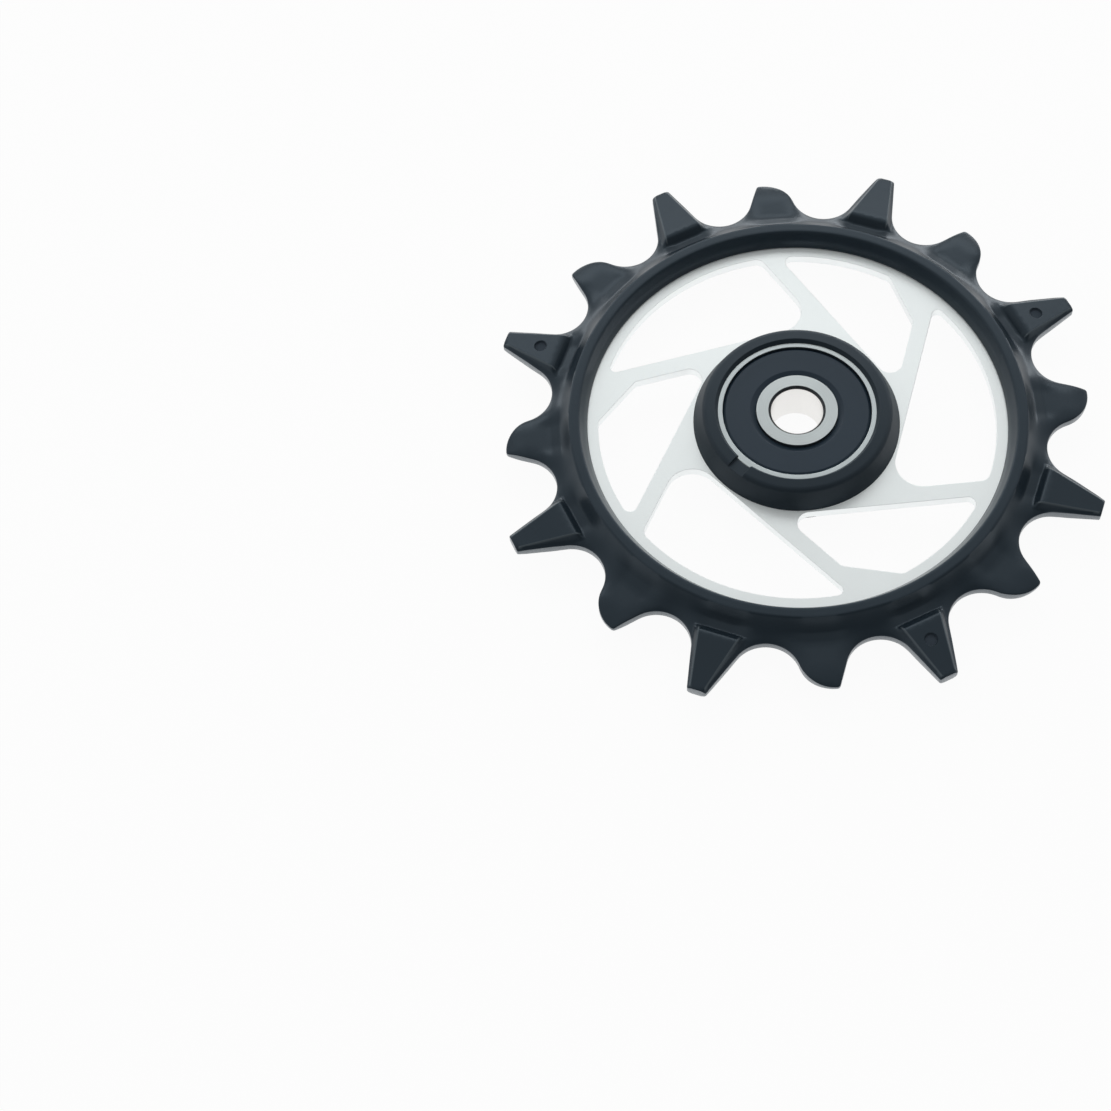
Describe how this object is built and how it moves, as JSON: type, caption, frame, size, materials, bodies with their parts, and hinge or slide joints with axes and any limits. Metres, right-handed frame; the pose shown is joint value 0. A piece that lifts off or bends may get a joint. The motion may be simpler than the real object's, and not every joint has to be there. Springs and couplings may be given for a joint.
{
  "type": "derailleur jockey wheel",
  "caption": "Toothed idler wheel for a bicycle rear derailleur: black toothed ring on a spoked metal plate, with a black hub round a sealed ball bearing.",
  "frame": {"origin": "middle of the bearing bore, half-way through the wheel's thickness", "axes": "+Z along the axle, out of the front face; +X through a roller gap; the wheel lies flat, front face up"},
  "size_m": [0.0718, 0.0718, 0.007],
  "materials": {
    "ring_plastic": "black moulded plastic with a soft sheen",
    "hub_plastic": "black moulded plastic with a soft sheen",
    "plate_alloy": "satin, bead-blasted",
    "race_steel": "ground and turned",
    "ball_steel": "polished",
    "cage_steel": "pressed sheet",
    "seal_rubber": "black, satin"
  },
  "bodies": {
    "inner_race": {"bearing_inner_race": "race_steel"},
    "wheel": {"bearing_outer_race": "race_steel", "hub": "hub_plastic", "spoke_plate": "plate_alloy", "bearing_seal_front": "seal_rubber", "bearing_seal_rear": "seal_rubber"},
    "ring": {"toothed_ring": "ring_plastic"},
    "cage": {"ball_cage_front": "cage_steel", "ball_cage_rear": "cage_steel"},
    "ball_1": {"bearing_ball_1": "ball_steel"},
    "ball_2": {"bearing_ball_2": "ball_steel"},
    "ball_3": {"bearing_ball_3": "ball_steel"},
    "ball_4": {"bearing_ball_4": "ball_steel"},
    "ball_5": {"bearing_ball_5": "ball_steel"},
    "ball_6": {"bearing_ball_6": "ball_steel"},
    "ball_7": {"bearing_ball_7": "ball_steel"}
  },
  "joints": [
    {"name": "wheel_spin", "type": "hinge", "parent": "inner_race", "child": "wheel", "pos_m": [0, 0, 0], "axis": [0, 0, 1], "continuous": true},
    {"name": "ring_slip", "type": "hinge", "parent": "wheel", "child": "ring", "pos_m": [0, 0, 0], "axis": [0, 0, 1], "continuous": true},
    {"name": "cage_spin", "type": "hinge", "parent": "inner_race", "child": "cage", "pos_m": [0, 0, 0], "axis": [0, 0, 1], "continuous": true},
    {"name": "ball_1_spin", "type": "hinge", "parent": "cage", "child": "ball_1", "pos_m": [0.0039, 0.00489, 0], "axis": [0, 0, 1], "continuous": true},
    {"name": "ball_2_spin", "type": "hinge", "parent": "cage", "child": "ball_2", "pos_m": [-0.00139, 0.00609, 0], "axis": [0, 0, 1], "continuous": true},
    {"name": "ball_3_spin", "type": "hinge", "parent": "cage", "child": "ball_3", "pos_m": [-0.00563, 0.00271, 0], "axis": [0, 0, 1], "continuous": true},
    {"name": "ball_4_spin", "type": "hinge", "parent": "cage", "child": "ball_4", "pos_m": [-0.00563, -0.00271, 0], "axis": [0, 0, 1], "continuous": true},
    {"name": "ball_5_spin", "type": "hinge", "parent": "cage", "child": "ball_5", "pos_m": [-0.00139, -0.00609, 0], "axis": [0, 0, 1], "continuous": true},
    {"name": "ball_6_spin", "type": "hinge", "parent": "cage", "child": "ball_6", "pos_m": [0.0039, -0.00489, 0], "axis": [0, 0, 1], "continuous": true},
    {"name": "ball_7_spin", "type": "hinge", "parent": "cage", "child": "ball_7", "pos_m": [0.00625, 0, 0], "axis": [0, 0, 1], "continuous": true}
  ],
  "couplings": [
    {"joint": "cage_spin", "follows": "wheel_spin", "ratio": 0.64},
    {"joint": "ball_1_spin", "follows": "wheel_spin", "ratio": 1.6457},
    {"joint": "ball_2_spin", "follows": "wheel_spin", "ratio": 1.6457},
    {"joint": "ball_3_spin", "follows": "wheel_spin", "ratio": 1.6457},
    {"joint": "ball_4_spin", "follows": "wheel_spin", "ratio": 1.6457},
    {"joint": "ball_5_spin", "follows": "wheel_spin", "ratio": 1.6457},
    {"joint": "ball_6_spin", "follows": "wheel_spin", "ratio": 1.6457},
    {"joint": "ball_7_spin", "follows": "wheel_spin", "ratio": 1.6457}
  ]
}
